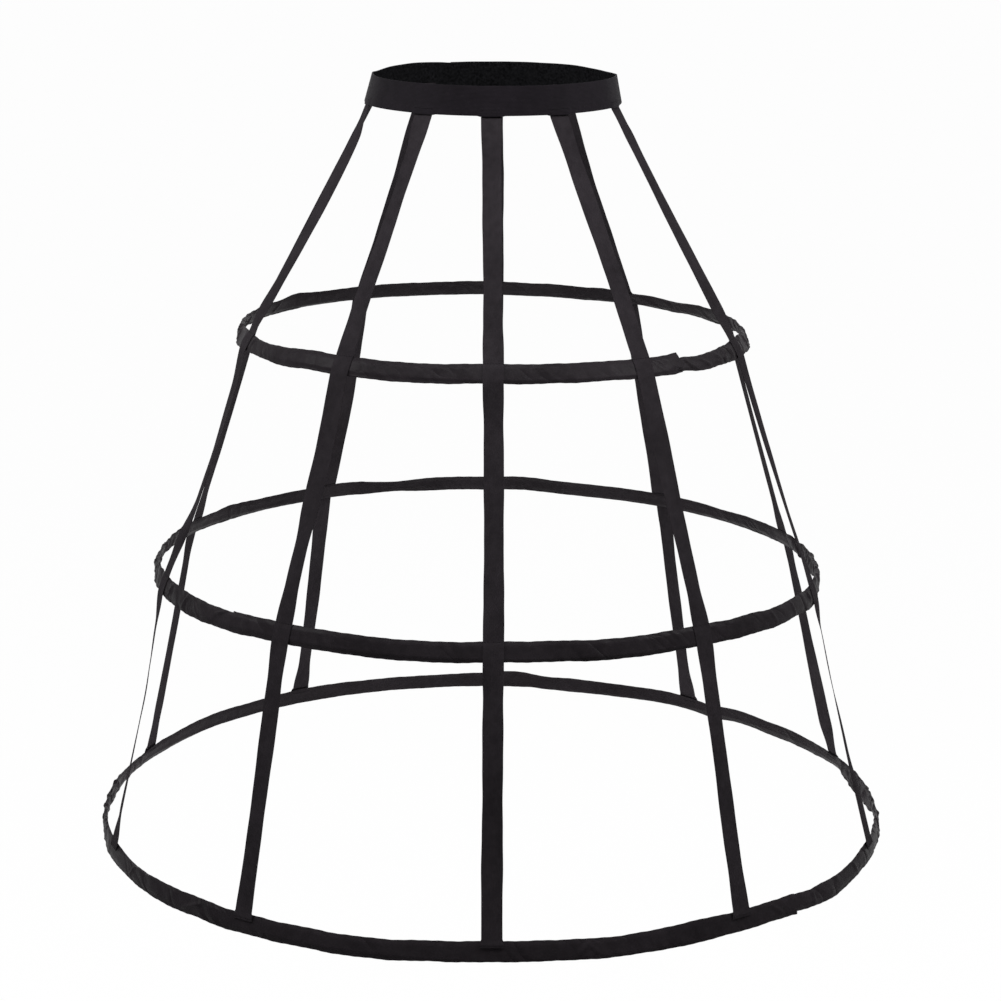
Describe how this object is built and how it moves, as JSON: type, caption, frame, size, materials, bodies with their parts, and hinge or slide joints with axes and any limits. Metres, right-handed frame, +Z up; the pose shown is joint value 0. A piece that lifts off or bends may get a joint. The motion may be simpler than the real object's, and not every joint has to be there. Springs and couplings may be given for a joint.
{
  "type": "crinoline cage",
  "caption": "Waist-hung crinoline cage: an elastic waistband, vertical fabric tapes and cloth-cased steel hoops that widen to the hem.",
  "frame": {"origin": "middle of the waist opening, half way down the waistband", "axes": "+Z up through the waist opening, -Y to the wearer's front, +X to the wearer's left"},
  "size_m": [0.8225, 0.8213, 0.7898],
  "materials": {
    "waistband_elastic": "woven elastic, matt",
    "tape": "plain woven tape, soft sheen",
    "casing_satin": "satin, gathered",
    "bone_steel": "spring steel",
    "sleeve_metal": "crimped sleeve"
  },
  "bodies": {
    "root": {"waistband": "waistband_elastic", "tape_front": "tape", "tape_front_left": "tape", "tape_side_left": "tape", "tape_rear_side_left": "tape", "tape_back_left": "tape", "tape_back": "tape", "tape_back_right": "tape", "tape_rear_side_right": "tape", "tape_side_right": "tape", "tape_front_right": "tape", "top_casing": "casing_satin", "middle_casing": "casing_satin", "bottom_casing": "casing_satin", "top_bone": "bone_steel", "middle_bone": "bone_steel", "bottom_bone": "bone_steel", "top_bone_sleeve": "sleeve_metal", "middle_bone_sleeve": "sleeve_metal", "bottom_bone_sleeve": "sleeve_metal"}
  },
  "joints": []
}
